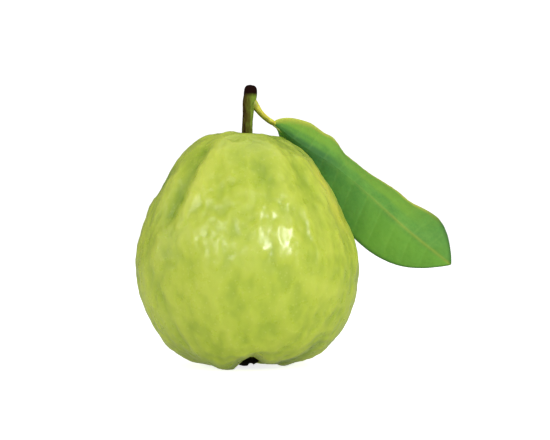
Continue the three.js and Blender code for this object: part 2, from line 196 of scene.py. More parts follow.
def fold_tree():
    """How far one ridge or groove lifts the peel at a given azimuth, radius and height."""
    labels = ["At Azimuth", "At Radius", "At Height", "Azimuth", "Height", "Width", "Foot", "Top", "Drift"]
    tree, given = new_tree("Fold", dict.fromkeys(labels, "Float"), "Float")
    up = add(tree, "ShaderNodeMapRange", {
        "Value": given["At Height"], "From Min": given["Foot"], "From Max": given["Top"],
    })
    down = add(tree, "ShaderNodeMath", {0: 1.0, 1: up}, operation="SUBTRACT")
    drift = add(tree, "ShaderNodeMath", {0: down, 1: given["Drift"]}, operation="MULTIPLY")
    middle = add(tree, "ShaderNodeMath", {0: given["Azimuth"], 1: drift}, operation="SUBTRACT")
    near = add(tree, "ShaderNodeMath", {0: given["At Azimuth"], 1: middle}, operation="SUBTRACT")
    for operation, values in (
        ("WRAP", {1: 180.0, 2: -180.0}), ("RADIANS", {}), ("MULTIPLY", {1: given["At Radius"]}),
        ("DIVIDE", {1: given["Width"]}), ("POWER", {1: 2.0}), ("MULTIPLY", {1: -1.0}), ("EXPONENT", {}),
    ):
        near = add(tree, "ShaderNodeMath", {0: near, **values}, operation=operation)
    arch = up
    for operation, values in (("MULTIPLY", {1: math.pi}), ("SINE", {}), ("MAXIMUM", {1: 0.0}), ("SQRT", {})):
        arch = add(tree, "ShaderNodeMath", {0: arch, **values}, operation=operation)
    near = add(tree, "ShaderNodeMath", {0: near, 1: arch}, operation="MULTIPLY")
    lift = add(tree, "ShaderNodeMath", {0: near, 1: given["Height"]}, operation="MULTIPLY")
    add(tree, "NodeGroupOutput", {"Result": lift})
    return tree


def lobe_tree():
    """How far one lobe of the blossom end hangs down at a given azimuth."""
    labels = ["At Azimuth", "Azimuth", "Height", "Width"]
    tree, given = new_tree("Lobe", dict.fromkeys(labels, "Float"), "Float")
    lift = given["At Azimuth"]
    for operation, values in (
        ("SUBTRACT", {1: given["Azimuth"]}), ("WRAP", {1: 180.0, 2: -180.0}), ("DIVIDE", {1: given["Width"]}),
        ("POWER", {1: 2.0}), ("MULTIPLY", {1: -1.0}), ("EXPONENT", {}), ("MULTIPLY", {1: given["Height"]}),
    ):
        lift = add(tree, "ShaderNodeMath", {0: lift, **values}, operation=operation)
    add(tree, "NodeGroupOutput", {"Result": lift})
    return tree


def skin_tree():
    """Turns the outline about the core, lifts its ridges, lobes and knobs and sets its foot flat."""
    inputs = {
        "Outline": "Geometry", "Sides": "Int", "Rows": "Int", "Core": "Vector", "Belly Offset": "Float",
        "Dimple Lean": "Float", "Knob Height": "Float", "Knob Spacing": "Float", "Pimple Height": "Float",
        "Pimple Spacing": "Float", "Stretch": "Vector", "Lobe Reach": "Float", "Lobe Width": "Float",
        "Skin": "Material",
    }
    tree, given = new_tree("GuavaSkin", inputs)
    curve = add(tree, "GeometryNodeMeshToCurve", {"Mesh": given["Outline"]})
    curve = add(tree, "GeometryNodeCurveSplineType", {"Curve": curve}, spline_type="CATMULL_ROM")
    curve = add(tree, "GeometryNodeSetSplineResolution", {0: curve, "Resolution": 16})
    grid = add(tree, "GeometryNodeMeshGrid", {
        "Size X": 1.0, "Size Y": 1.0, "Vertices X": given["Sides"], "Vertices Y": given["Rows"],
    })
    cell = add(tree, "ShaderNodeSeparateXYZ", {0: add(tree, "GeometryNodeInputPosition")})
    turn = add(tree, "ShaderNodeMath", {0: cell.outputs["X"], 1: 2 * math.pi}, operation="MULTIPLY")
    along = add(tree, "ShaderNodeMath", {0: cell.outputs["Y"], 1: 0.5}, operation="ADD")
    profile = add(tree, "GeometryNodeSampleCurve", {"Curves": curve, "Factor": along}, mode="FACTOR")
    profile = add(tree, "ShaderNodeSeparateXYZ", {0: profile.outputs["Position"]})
    turned = add(tree, "ShaderNodeVectorRotate", {
        "Vector": add(tree, "ShaderNodeCombineXYZ", {
            "Y": add(tree, "ShaderNodeMath", {0: profile.outputs["X"], 1: -1.0}, operation="MULTIPLY"),
            "Z": profile.outputs["Z"],
        }),
        "Angle": turn,
    }, rotation_type="Z_AXIS")
    body = add(tree, "GeometryNodeSetPosition", {"Geometry": grid, "Position": turned})
    body = add(tree, "GeometryNodeMergeByDistance", {"Geometry": body, "Distance": 0.02 * MM})

    place = add(tree, "GeometryNodeInputPosition")
    at = add(tree, "ShaderNodeSeparateXYZ", {0: place}).outputs
    front = add(tree, "ShaderNodeMath", {0: at["Y"], 1: -1.0}, operation="MULTIPLY")
    azimuth = add(tree, "ShaderNodeMath", {0: at["X"], 1: front}, operation="ARCTAN2")
    azimuth = add(tree, "ShaderNodeMath", {0: azimuth}, operation="DEGREES")
    flat = add(tree, "ShaderNodeCombineXYZ", {"X": at["X"], "Y": at["Y"]})
    radius = add(tree, "ShaderNodeVectorMath", {0: flat}, operation="LENGTH").outputs["Value"]

    group = fold_tree()
    sums = []
    for rows in (FOLDS, NOTCH):
        lift = 0.0
        for middle, height, width, foot, top, drift in rows:
            fold = add(tree, "GeometryNodeGroup", {
                "At Azimuth": azimuth, "At Radius": radius, "At Height": at["Z"],
                "Azimuth": middle, "Height": height * MM, "Width": width * MM,
                "Foot": foot * MM, "Top": top * MM, "Drift": drift,
            }, node_tree=group)
            lift = add(tree, "ShaderNodeMath", {0: lift, 1: fold}, operation="ADD")
        sums.append(lift)
    folds, notch = sums

    lobes = 0.0
    group = lobe_tree()
    for middle, height in LOBES:
        lobe = add(tree, "GeometryNodeGroup", {
            "At Azimuth": azimuth, "Azimuth": middle, "Height": height * MM, "Width": given["Lobe Width"],
        }, node_tree=group)
        lobes = add(tree, "ShaderNodeMath", {0: lobes, 1: lobe}, operation="ADD")
    low = add(tree, "ShaderNodeMapRange", {
        "Value": at["Z"], "From Min": 0.0, "From Max": given["Lobe Reach"], "To Min": 1.0, "To Max": 0.0,
    }, interpolation_type="SMOOTHSTEP")
    lobes = add(tree, "ShaderNodeMath", {0: lobes, 1: low}, operation="MULTIPLY")

    knobs = 0.0
    drawn = add(tree, "ShaderNodeVectorMath", {0: place, 1: given["Stretch"]}, operation="MULTIPLY")
    for kind in ("Knob", "Pimple"):
        scale = add(tree, "ShaderNodeMath", {0: 1.0, 1: given[kind + " Spacing"]}, operation="DIVIDE")
        bump = add(tree, "ShaderNodeTexNoise", {
            "Vector": drawn, "Scale": scale, "Detail": 1.0, "Roughness": 0.4,
        })
        for operation, value in (
            ("SUBTRACT", KNOB_LEVEL), ("MULTIPLY", given[kind + " Height"]),
            ("MULTIPLY", 2.0), ("ADD", knobs),
        ):
            bump = add(tree, "ShaderNodeMath", {0: bump, 1: value}, operation=operation)
        knobs = bump

    lift = folds
    for relief in (knobs, lobes, notch):
        lift = add(tree, "ShaderNodeMath", {0: lift, 1: relief}, operation="ADD")
    off_axis = add(tree, "ShaderNodeMapRange", {
        "Value": radius, "From Min": SMOOTH_WITHIN, "From Max": ROUGH_BEYOND,
    }, interpolation_type="SMOOTHSTEP")
    lift = add(tree, "ShaderNodeMath", {0: lift, 1: off_axis}, operation="MULTIPLY")
    normal = add(tree, "GeometryNodeInputNormal")
    offset = add(tree, "ShaderNodeVectorMath", {0: normal, "Scale": lift}, operation="SCALE")
    # The heights of the ridges and knobs are kept for the peel's colour, which paints shade into the grooves
    # and hollows and light onto the ridges and knob tops.
    for label, value in (("fold", folds), ("knob", knobs)):
        body = add(tree, "GeometryNodeStoreNamedAttribute", {
            "Geometry": body, "Name": label, "Value": value,
        }, data_type="FLOAT", domain="POINT")
    body = add(tree, "GeometryNodeSetPosition", {"Geometry": body, "Offset": offset})

    belly = add(tree, "ShaderNodeMapRange", {
        "Value": at["Z"], "From Min": 0.0, "From Max": BELLY_FOOT, "To Max": given["Belly Offset"],
    }, interpolation_type="SMOOTHSTEP")
    lean = add(tree, "ShaderNodeMapRange", {
        "Value": at["Z"], "From Min": BELLY_FOOT, "From Max": FRUIT_TOP, "To Max": given["Dimple Lean"],
    }, interpolation_type="SMOOTHSTEP")
    shift = add(tree, "ShaderNodeMath", {0: belly, 1: lean}, operation="SUBTRACT")
    body = add(tree, "GeometryNodeSetPosition", {
        "Geometry": body,
        "Position": add(tree, "ShaderNodeCombineXYZ", {
            "X": add(tree, "ShaderNodeMath", {0: at["X"], 1: shift}, operation="ADD"),
            "Y": at["Y"],
            "Z": add(tree, "ShaderNodeMath", {0: at["Z"], 1: 0.0}, operation="MAXIMUM"),
        }),
        "Offset": given["Core"],
    })
    return close_tree(tree, body, given["Skin"])


# Patches of colour on the peel: place, inner and outer reach in mm, strength and colour. The first two are
# the yellow that the light of its last weeks on the tree left on the right shoulder. The rest are painted
# light: painted shade that makes the peel darker and greener towards both flanks, on the facet of the upper
# left that turns away from the light, on the lower front and towards the foot, and, at (-34, -26, 42), a pale
# painted sheen on the left flank.
PEEL_TINTS_AND_PAINTED_LIGHT = [
    ((37, -11, 61), 3, 13, 0.95, "#FBE02A"),
    ((31, -9, 73), 3, 12, 0.95, "#FBE02A"),
    # From here on, painted shade, except the pale painted sheen on the left flank.
    ((21, -25, 77), 2, 15, 0.25, "#A9C034"),
    ((35, -26, 52), 2, 16, 0.35, "#A9C034"),
    ((44, -6, 34), 6, 28, 0.9, "#94B60C"),
    ((-21, -20, 81), 4, 12, 0.5, "#7C9E2A"),
    ((-28, -24, 67), 4, 13, 0.5, "#80A42C"),
    ((-37, -12, 66), 5, 22, 0.6, "#84A632"),
    ((-44, -2, 40), 4, 20, 0.9, "#72961C"),
    # A pale painted sheen on the left flank.
    ((-34, -26, 42), 3, 14, 0.3, "#B4C070"),
    ((4, -40, 20), 4, 26, 0.55, "#9AB228"),
    ((0, 0, 4), 14, 48, 0.7, "#7F9A16"),
    ((40, -16, 18), 4, 22, 0.65, "#86A210"),
    ((-2, -42, 37), 4, 24, 0.4, "#A2BA1E"),
    ((-36, -22, 24), 4, 22, 0.4, "#88A62A"),
    ((-26, -28, 14), 3, 15, 0.35, "#8AA42C"),
]


def waxy_skin():
    """Guava peel: thin, waxy and faintly see-through, yellow-green with greener clouds and pale pores.
    Painted shade darkens its flanks, its foot and its grooves, painted light pales its ridges and knob tops,
    and a pale painted sheen lies on its left flank. Its wax gives the knobs their glints."""
    material, tree, shader, place = new_material("waxy guava peel")
    clouds = add(tree, "ShaderNodeTexNoise", {"Vector": place, "Scale": 1 / (24 * MM), "Detail": 3.0})
    green = add(tree, "ShaderNodeValToRGB", {"Fac": clouds}, {
        0.32: "#A3B834", 0.5: "#B5C43D", 0.7: "#C3CE4B",
    })
    mottle = add(tree, "ShaderNodeTexNoise", {"Vector": place, "Scale": 1 / (5 * MM), "Detail": 4.0})
    mottled = add(tree, "ShaderNodeValToRGB", {"Fac": mottle}, {0.35: "#9FB531", 0.65: "#C5D04C"})
    colour = add(tree, "ShaderNodeMix", {"Factor": 0.3, "A": green, "B": mottled}, data_type="RGBA")
    # The yellow of the right shoulder, then painted shade and a painted sheen, laid on by place.
    for spot, inner, outer, strength, tint in PEEL_TINTS_AND_PAINTED_LIGHT:
        spot = CORE + Vector(spot) * MM
        reach = add(tree, "ShaderNodeVectorMath", {0: place, 1: spot}, operation="DISTANCE")
        reach = add(tree, "ShaderNodeMapRange", {
            "Value": reach.outputs["Value"],
            "From Min": inner * MM, "From Max": outer * MM, "To Min": strength, "To Max": 0.0,
        }, interpolation_type="SMOOTHSTEP")
        colour = add(tree, "ShaderNodeMix", {
            "Factor": reach, "A": colour, "B": linear(tint),
        }, data_type="RGBA")
    # Colour from the relief: partly the peel's greener colour in its folds, partly painted shade in the
    # grooves and the hollows between the knobs and painted light on the ridges and knob tops.
    for label, low, high, share in (("fold", -1.2, 1.4, 0.7), ("knob", -0.46, 0.24, 0.25)):
        relief = add(tree, "ShaderNodeAttribute", attribute_name=label)
        relief = add(tree, "ShaderNodeMapRange", {
            "Value": relief.outputs["Fac"], "From Min": low * MM, "From Max": high * MM,
        })
        tone = add(tree, "ShaderNodeValToRGB", {"Fac": relief}, {
            0.02: "#6A8E20", 0.46: "#B4C440", 0.9: "#D2DA5E",
        })
        colour = add(tree, "ShaderNodeMix", {"Factor": share, "A": colour, "B": tone}, data_type="RGBA")
    pores = add(tree, "ShaderNodeTexVoronoi", {"Vector": place, "Scale": 1 / (1.9 * MM)})
    fleck = add(tree, "ShaderNodeMapRange", {
        "Value": pores, "From Min": 0.1, "From Max": 0.28, "To Min": 0.16, "To Max": 0.0,
    })
    colour = add(tree, "ShaderNodeMix", {
        "Factor": fleck, "A": colour, "B": linear("#DDE384"),
    }, data_type="RGBA")
    wax = add(tree, "ShaderNodeMapRange", {
        "Value": mottle, "From Min": 0.3, "From Max": 0.7, "To Min": 0.24, "To Max": 0.4,
    })
    dent = add(tree, "ShaderNodeTexNoise", {"Vector": place, "Scale": 1 / (1.8 * MM), "Detail": 2.0})
    bump = add(tree, "ShaderNodeBump", {"Strength": 0.15, "Distance": 0.2 * MM, "Height": dent})
    feed(tree, shader, {
        "Base Color": colour, "Roughness": wax, "IOR": 1.45, "Subsurface Weight": 0.25,
        "Subsurface Radius": (0.7, 1.0, 0.25), "Subsurface Scale": 3 * MM, "Normal": bump,
    })
    return material


skin = grow(
    "fruit_skin", skin_tree(), [[((radius, 0, height), 0) for radius, height in FRUIT_OUTLINE]],
    **{
        "Sides": FRUIT_SIDES + 1, "Rows": FRUIT_ROWS + 1, "Core": CORE,
        "Belly Offset": BELLY_OFFSET, "Dimple Lean": DIMPLE_LEAN,
        "Knob Height": KNOB_HEIGHT, "Knob Spacing": KNOB_SPACING,
        "Pimple Height": PIMPLE_HEIGHT, "Pimple Spacing": PIMPLE_SPACING, "Stretch": KNOB_STRETCH,
        "Lobe Reach": LOBE_REACH, "Lobe Width": LOBE_WIDTH, "Skin": waxy_skin(),
    },
)
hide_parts("fruit")
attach(skin, "root")

# The calyx: five papery sepals that dried brown-black after the flower, grown to the rim of a small disc in
# the hollow of the blossom end, with the withered stamens and the stub of the style still on it.
SEPALS = [(2, -14), (74, 7), (175, -8), (240, 9), (304, -6)]  # azimuth and roll about its length, degrees
SEPAL_FOOT = 3.4  # mm from the axis, as the other sizes here
SEPAL_TIP = 9.8
SEPAL_HALF_WIDTH = 4.1
SEPAL_HEIGHTS = (5.2, 2)  # at its foot and its tip
SEPAL_BLUNTNESS = 10.0  # power by which it keeps its width up to the tip
SEPAL_BOW = 0.9  # how far its sides curl down
SEPAL_SAG = 1.6  # power by which it drops along its length
SEPAL_CRUMPLE = 1.3
SEPAL_WALL = 0.45
STAMENS = 46
STAMEN_LENGTH = 2.6


def sepal_tree():
    """One withered sepal on each point, turned outwards, rolled by its measure in degrees, and crumpled."""
    inputs = {
        "Feet": "Geometry", "Length": "Float", "Half Width": "Float", "Drop": "Float",
        "Crumple": "Float", "Core": "Vector", "Sepal": "Material",
    }
    tree, given = new_tree("SepalRing", inputs)
    grid = add(tree, "GeometryNodeMeshGrid", {
        "Size X": 1.0, "Size Y": 1.0, "Vertices X": 17, "Vertices Y": 25,
    })
    cell = add(tree, "ShaderNodeSeparateXYZ", {0: add(tree, "GeometryNodeInputPosition")}).outputs
    across = add(tree, "ShaderNodeMath", {0: cell["X"], 1: 2.0}, operation="MULTIPLY")
    along = add(tree, "ShaderNodeMath", {0: cell["Y"], 1: 0.5}, operation="ADD")
    width = along
    for operation, values in (
        ("POWER", {1: SEPAL_BLUNTNESS}), ("MULTIPLY_ADD", {1: -1.0, 2: 1.1}), ("SQRT", {}),
        ("MULTIPLY", {1: given["Half Width"]}),
    ):
        width = add(tree, "ShaderNodeMath", {0: width, **values}, operation=operation)
    bowed = add(tree, "ShaderNodeMath", {0: across, 1: 2.0}, operation="POWER")
    bowed = add(tree, "ShaderNodeMath", {0: bowed, 1: -SEPAL_BOW * MM}, operation="MULTIPLY")
    sag = add(tree, "ShaderNodeMath", {0: along, 1: SEPAL_SAG}, operation="POWER")
    sag = add(tree, "ShaderNodeMath", {0: sag, 1: given["Drop"]}, operation="MULTIPLY")
    reach = add(tree, "ShaderNodeMath", {0: along, 1: given["Length"]}, operation="MULTIPLY")
    leaf = add(tree, "GeometryNodeSetPosition", {
        "Geometry": grid,
        "Position": add(tree, "ShaderNodeCombineXYZ", {
            "X": add(tree, "ShaderNodeMath", {0: across, 1: width}, operation="MULTIPLY"),
            "Y": add(tree, "ShaderNodeMath", {0: reach, 1: -1.0}, operation="MULTIPLY"),
            "Z": add(tree, "ShaderNodeMath", {0: bowed, 1: sag}, operation="SUBTRACT"),
        }),
    })
    foot = add(tree, "ShaderNodeSeparateXYZ", {0: add(tree, "GeometryNodeInputPosition")}).outputs
    front = add(tree, "ShaderNodeMath", {0: foot["Y"], 1: -1.0}, operation="MULTIPLY")
    facing = add(tree, "ShaderNodeMath", {0: foot["X"], 1: front}, operation="ARCTAN2")
    roll = add(tree, "GeometryNodeInputNamedAttribute", {"Name": "measure"}, data_type="FLOAT")
    roll = add(tree, "ShaderNodeMath", {0: roll}, operation="RADIANS")
    size = add(tree, "FunctionNodeRandomValue", {"Min": 0.9, "Max": 1.0, "Seed": 4}, data_type="FLOAT")
    ring = add(tree, "GeometryNodeInstanceOnPoints", {
        "Points": given["Feet"], "Instance": leaf,
        "Rotation": add(tree, "ShaderNodeCombineXYZ", {"Y": roll, "Z": facing}), "Scale": size,
    })
    ring = add(tree, "GeometryNodeRealizeInstances", {"Geometry": ring})
    crease = add(tree, "ShaderNodeTexNoise", {
        "Vector": add(tree, "GeometryNodeInputPosition"), "Scale": 1 / (2.4 * MM), "Detail": 2.0,
    }).outputs["Color"]
    crease = add(tree, "ShaderNodeVectorMath", {0: crease, 1: (0.5, 0.5, 0.5)}, operation="SUBTRACT")
    crease = add(tree, "ShaderNodeVectorMath", {0: crease, "Scale": given["Crumple"]}, operation="SCALE")
    offset = add(tree, "ShaderNodeVectorMath", {0: crease, 1: given["Core"]}, operation="ADD")
    ring = add(tree, "GeometryNodeSetPosition", {"Geometry": ring, "Offset": offset})
    return close_tree(tree, ring, given["Sepal"])


def twig_tree():
    """A round bar along each line, its points' measure as radius in mm, with noise drawn out along Z."""
    inputs = {
        "Lines": "Geometry", "Sides": "Int", "Step": "Float", "Roughness": "Float",
        "Grain": "Float", "Core": "Vector", "Finish": "Material",
    }
    tree, given = new_tree("Twig", inputs)
    curve = add(tree, "GeometryNodeMeshToCurve", {"Mesh": given["Lines"]})
    curve = add(tree, "GeometryNodeCurveSplineType", {"Curve": curve}, spline_type="CATMULL_ROM")
    curve = add(tree, "GeometryNodeSetSplineResolution", {0: curve, "Resolution": 12})
    curve = add(tree, "GeometryNodeResampleCurve", {"Curve": curve, "Length": given["Step"]}, mode="LENGTH")
    radius = add(tree, "GeometryNodeInputNamedAttribute", {"Name": "measure"}, data_type="FLOAT")
    radius = add(tree, "ShaderNodeMath", {0: radius, 1: MM}, operation="MULTIPLY")
    ring = add(tree, "GeometryNodeCurvePrimitiveCircle", {"Resolution": given["Sides"], "Radius": 1.0})
    bar = add(tree, "GeometryNodeCurveToMesh", {
        "Curve": curve, "Profile Curve": ring, "Scale": radius, "Fill Caps": True,
    })
    bar = add(tree, "GeometryNodeMergeByDistance", {"Geometry": bar, "Distance": 0.005 * MM})
    place = add(tree, "GeometryNodeInputPosition")
    place = add(tree, "ShaderNodeVectorMath", {0: place, 1: (1.0, 1.0, 0.35)}, operation="MULTIPLY")
    scale = add(tree, "ShaderNodeMath", {0: 1.0, 1: given["Grain"]}, operation="DIVIDE")
    bark = add(tree, "ShaderNodeTexNoise", {"Vector": place, "Scale": scale, "Detail": 3.0})
    bark = add(tree, "ShaderNodeMath", {0: bark, 1: 0.5}, operation="SUBTRACT")
    bark = add(tree, "ShaderNodeMath", {0: bark, 1: given["Roughness"]}, operation="MULTIPLY")
    normal = add(tree, "GeometryNodeInputNormal")
    offset = add(tree, "ShaderNodeVectorMath", {0: normal, "Scale": bark}, operation="SCALE")
    offset = add(tree, "ShaderNodeVectorMath", {0: offset, 1: given["Core"]}, operation="ADD")
    bar = add(tree, "GeometryNodeSetPosition", {"Geometry": bar, "Offset": offset})
    return close_tree(tree, bar, given["Finish"])


def dry_sepal():
    """Withered sepal: a thin brown-black husk, matt and finely wrinkled, paler where it has split."""
    material, tree, shader, place = new_material("withered sepal")
    patches = add(tree, "ShaderNodeTexNoise", {"Vector": place, "Scale": 1 / (1.5 * MM), "Detail": 4.0})
    colour = add(tree, "ShaderNodeValToRGB", {"Fac": patches}, {
        0.35: "#0D0805", 0.6: "#1C120A", 0.8: "#46321E",
    })
    bump = add(tree, "ShaderNodeBump", {"Strength": 0.6, "Distance": 0.2 * MM, "Height": patches})
    feed(tree, shader, {
        "Base Color": colour, "Roughness": 0.85, "Specular IOR Level": 0.3, "Normal": bump,
    })
    return material


def from_axis(radius, azimuth, height):
    """A place in mm from the core, by its distance from the axis, its azimuth in degrees and its height."""
    turn = math.radians(azimuth)
    return (radius * math.sin(turn), -radius * math.cos(turn), height)


husk = dry_sepal()
twig = twig_tree()
sepals = grow(
    "calyx_sepals", sepal_tree(),
    [[(from_axis(SEPAL_FOOT, azimuth, SEPAL_HEIGHTS[0]), roll)] for azimuth, roll in SEPALS],
    **{
        "Length": (SEPAL_TIP - SEPAL_FOOT) * MM, "Half Width": SEPAL_HALF_WIDTH * MM,
        "Drop": (SEPAL_HEIGHTS[0] - SEPAL_HEIGHTS[1]) * MM, "Crumple": SEPAL_CRUMPLE * MM,
        "Core": CORE, "Sepal": husk,
    },
)
wall = sepals.modifiers.new("wall", "SOLIDIFY")
wall.thickness = SEPAL_WALL * MM
wall.offset = 0
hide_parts("calyx")
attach(sepals, "root")

disc_line = [
    ((0, 0, 6.4), 3), ((0, 0, 6), 4.6), ((0, 0, 5.4), 4.9), ((0, 0, 4.5), 4.4), ((0, 0, 4), 3.4),
    ((0, 0, 4.1), 1.2), ((0, 0, 4.2), 0.3),
]
disc = grow(
    "calyx_disc", twig, [disc_line],
    Sides=40, Step=0.35 * MM, Roughness=0.6 * MM, Grain=1.6 * MM, Core=CORE, Finish=husk,
)
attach(disc, "root")

stamen_lines = [
    [((0.1, 0, 5), 0.5), ((0.3, 0.1, 3.4), 0.42), ((0.9, 0.3, 2.2), 0.4), ((1.2, 0.4, 1.7), 0.5)],
]
for i in range(STAMENS):
    azimuth = 360 / STAMENS * i + 9 * noise.noise((i * 0.7, 0, 3))
    reach = STAMEN_LENGTH * (0.7 + 0.6 * noise.noise((i * 1.3, 5, 0)))
    bend = 14 * noise.noise((i * 0.9, 2, 8))
    stamen_lines.append([
        (from_axis(3.9, azimuth, 4.9), 0.16),
        (from_axis(3.6 + 0.2 * reach, azimuth + bend, 4.5 - 0.35 * reach), 0.11),
        (from_axis(3.4 + 0.5 * reach, azimuth + 2 * bend, 4.4 - 0.8 * reach), 0.09),
    ])
stamens = grow(
    "calyx_stamens", twig, stamen_lines,
    Sides=5, Step=0.5 * MM, Roughness=0.0, Grain=1 * MM, Core=CORE, Finish=husk,
)
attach(stamens, "root")

# The stem: the twig that the guava hung from, green and brown bark over wood, thicker where the leaf grew
# out and cut off above that. It stands in the dimple and leans to the right. The cut has dried almost black.
STEM_LINE = [
    ((-0.2, 0, 86.9), 2.3), ((-0.15, 0, 90), 2.15), ((-0.05, 0, 95), 2.1), ((0.2, 0, 99), 2.15),
    ((0.35, 0, 101.5), 2.3), ((0.7, 0, 104), 2.6), ((1.05, 0, 106.5), 2.62), ((1.2, 0, 108.2), 2.65),
    ((1.3, 0, 109.4), 2.45), ((1.36, 0, 110.2), 1.95), ((1.4, 0, 110.65), 1.3), ((1.42, 0, 110.8), 0.4),
]
STEM_CUT = 107.2 * MM  # the bark darkens above this height


def twig_bark():
    """Young guava bark: thin, matt, olive green with brown streaks along it, and nearly black at the cut."""
    material, tree, shader, place = new_material("young guava bark")
    drawn = add(tree, "ShaderNodeMapping", {"Vector": place, "Scale": (1.0, 1.0, 0.22)})
    streaks = add(tree, "ShaderNodeTexNoise", {"Vector": drawn, "Scale": 1 / (0.9 * MM), "Detail": 4.0})
    at = add(tree, "ShaderNodeSeparateXYZ", {0: place}).outputs
    # The bark is browner and darker on its left side and greener on its right.
    side = add(tree, "ShaderNodeMapRange", {
        "Value": at["X"], "From Min": CORE.x - 1.4 * MM, "From Max": CORE.x + 2.6 * MM, "To Max": 0.55,
    })
    tone = add(tree, "ShaderNodeMath", {0: streaks, 1: side}, operation="ADD")
    bark = add(tree, "ShaderNodeValToRGB", {"Fac": tone}, {
        0.42: "#33230C", 0.62: "#4E4716", 0.86: "#5E6A22", 1.04: "#72882E",
    })
    ragged = add(tree, "ShaderNodeMath", {0: streaks, 1: 2.4 * MM, 2: at["Z"]}, operation="MULTIPLY_ADD")
    cut = add(tree, "ShaderNodeMapRange", {
        "Value": ragged, "From Min": STEM_CUT, "From Max": STEM_CUT + 1.6 * MM,
    })
    colour = add(tree, "ShaderNodeMix", {"Factor": cut, "A": bark, "B": linear("#1C0602")}, data_type="RGBA")
    bump = add(tree, "ShaderNodeBump", {"Strength": 0.7, "Distance": 0.2 * MM, "Height": streaks})
    feed(tree, shader, {
        "Base Color": colour, "Roughness": 0.8, "Specular IOR Level": 0.05, "Normal": bump,
    })
    return material


stem = grow(
    "stem_twig", twig, [STEM_LINE],
    Sides=48, Step=0.2 * MM, Roughness=0.35 * MM, Grain=0.9 * MM, Core=CORE, Finish=twig_bark(),
)
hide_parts("stem")
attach(stem, "root")

# The leaf stalk: a short bent petiole that grows out of the stem's node and bends down to the foot of the
# blade. Its colour is painted light and shade: yellow on its upper side, which faces the light, and olive
# green below.
STALK_LINE = [
    ((0.9, 0, 105), 1.9), ((2.3, 0, 103.6), 1.75), ((3.5, 0.1, 102), 1.45), ((4.9, 0.5, 100.1), 1.2),
    ((6.5, 1.2, 98.5), 1.12), ((8.1, 2, 97.2), 1.1), ((9.6, 2.7, 96.3), 1.1), ((10.7, 3.4, 95.6), 0.8),
]
STALK_ROOT = (1, 0, 104)  # it is as green as the stem round this place


def green_stalk():
    """Petiole: smooth and faintly downy, painted yellow where it faces up and olive where it faces down, as
    painted light and shade.
    """
    material, tree, shader, place = new_material("guava petiole")
    # Painted light and shade: the colour runs from olive where the surface faces down to yellow where it
    # faces up.
    facing = add(tree, "ShaderNodeNewGeometry").outputs["Normal"]
    up = add(tree, "ShaderNodeSeparateXYZ", {0: facing}).outputs["Z"]
    cloud = add(tree, "ShaderNodeTexNoise", {"Vector": place, "Scale": 1 / (1.6 * MM), "Detail": 3.0})
    tone = add(tree, "ShaderNodeMath", {0: up, 1: cloud}, operation="ADD")
    colour = add(tree, "ShaderNodeValToRGB", {"Fac": tone}, {0.0: "#7E821A", 0.5: "#BDBA22", 1.0: "#DED83C"})
    root = CORE + Vector(STALK_ROOT) * MM
    from_root = add(tree, "ShaderNodeVectorMath", {0: place, 1: root}, operation="DISTANCE")
    young = add(tree, "ShaderNodeMapRange", {
        "Value": from_root.outputs["Value"],
        "From Min": 1.5 * MM, "From Max": 4 * MM, "To Min": 0.9, "To Max": 0.0,
    })
    colour = add(tree, "ShaderNodeMix", {
        "Factor": young, "A": colour, "B": linear("#6F7F22"),
    }, data_type="RGBA")
    feed(tree, shader, {
        "Base Color": colour, "Roughness": 0.5, "Subsurface Weight": 0.2, "Subsurface Scale": 1 * MM,
    })
    return material


stalk = grow(
    "leaf_petiole", twig, [STALK_LINE],
    Sides=32, Step=0.25 * MM, Roughness=0.12 * MM, Grain=1.2 * MM, Core=CORE, Finish=green_stalk(),
)
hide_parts("leaf_stalk")
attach(stalk, "root")

# The leaf: one leathery oblong blade with a rounded foot and a short point. It arches back from the stalk and
# down behind the fruit, its upper half folded back. Side veins press its face in and stand out underneath.
BLADE_LINE = [  # in mm, as the other sizes here
    (10.2, 3.1, 96), (20.9, 13, 88.2), (35.7, 21.5, 79.2), (49.5, 27, 67.9), (66.8, 31, 52.6),
    (84.0, 33.5, 39.1),
]
BLADE_HALF_WIDTH = 18
BLADE_WIDEST = 0.6  # share of its length
FOOT_ROUNDNESS = 0.62  # power by which the foot rounds out
TIP_ROUNDNESS = 3  # and by which the tip closes
BLADE_TIP = 0.4  # half width left at the foot and the tip
LOWER_FOOT = 0.4  # the lower half starts this much narrower than the upper,
LOWER_FOOT_END = 0.2  # up to this share of the length
BLADE_THICKNESS = 0.5
EDGE_THINNING = 0.5  # share of the thickness that is lost at the edge
BLADE_ROWS = 228
BLADE_COLUMNS = 60
COLUMN_SPREAD = 1.3  # the columns stand closer at the midrib by this power
# Share of the length; fold at the midrib and further turn to the edge, of the upper half and then the lower.
BLADE_FOLDS = [
    (0, -12, -18, -62, -20), (0.15, -18, -20, -52, -26), (0.3, -35, -25, -26, -26),
    (0.42, -50, -28, -14, -25), (0.5, -50, -28, -10, -24), (0.7, -42, -26, -5, -20),
    (0.94, -8, -14, -11, -20), (1, -4, -12, -14, -24),
]
VEIN_PAIRS = 12
VEIN_SLOPE = 0.3  # how far forward along the leaf a side vein runs
VEIN_DEPTH = 0.1
VEIN_WIDTH = 0.5
QUILT_HEIGHT = 0.2  # the blade swells this much between two veins
QUILT_WIDTH = 2.2
MIDRIB_GROOVE = 0.3
MIDRIB_WIDTH = 0.7
RIPPLES = ((0.2, 0.09), (0.12, 0.5))  # height, and turns to the mm
WAVE_HEIGHT = 0.2  # of the margin
WAVE_PACE = 19  # radians over the length
WAVE_SHIFT = 2  # radians that the upper margin is ahead
YELLOW_MARGIN = 2.8  # width of the coloured margin of the upper half
DARK_MARGIN = 1.7  # and of the lower


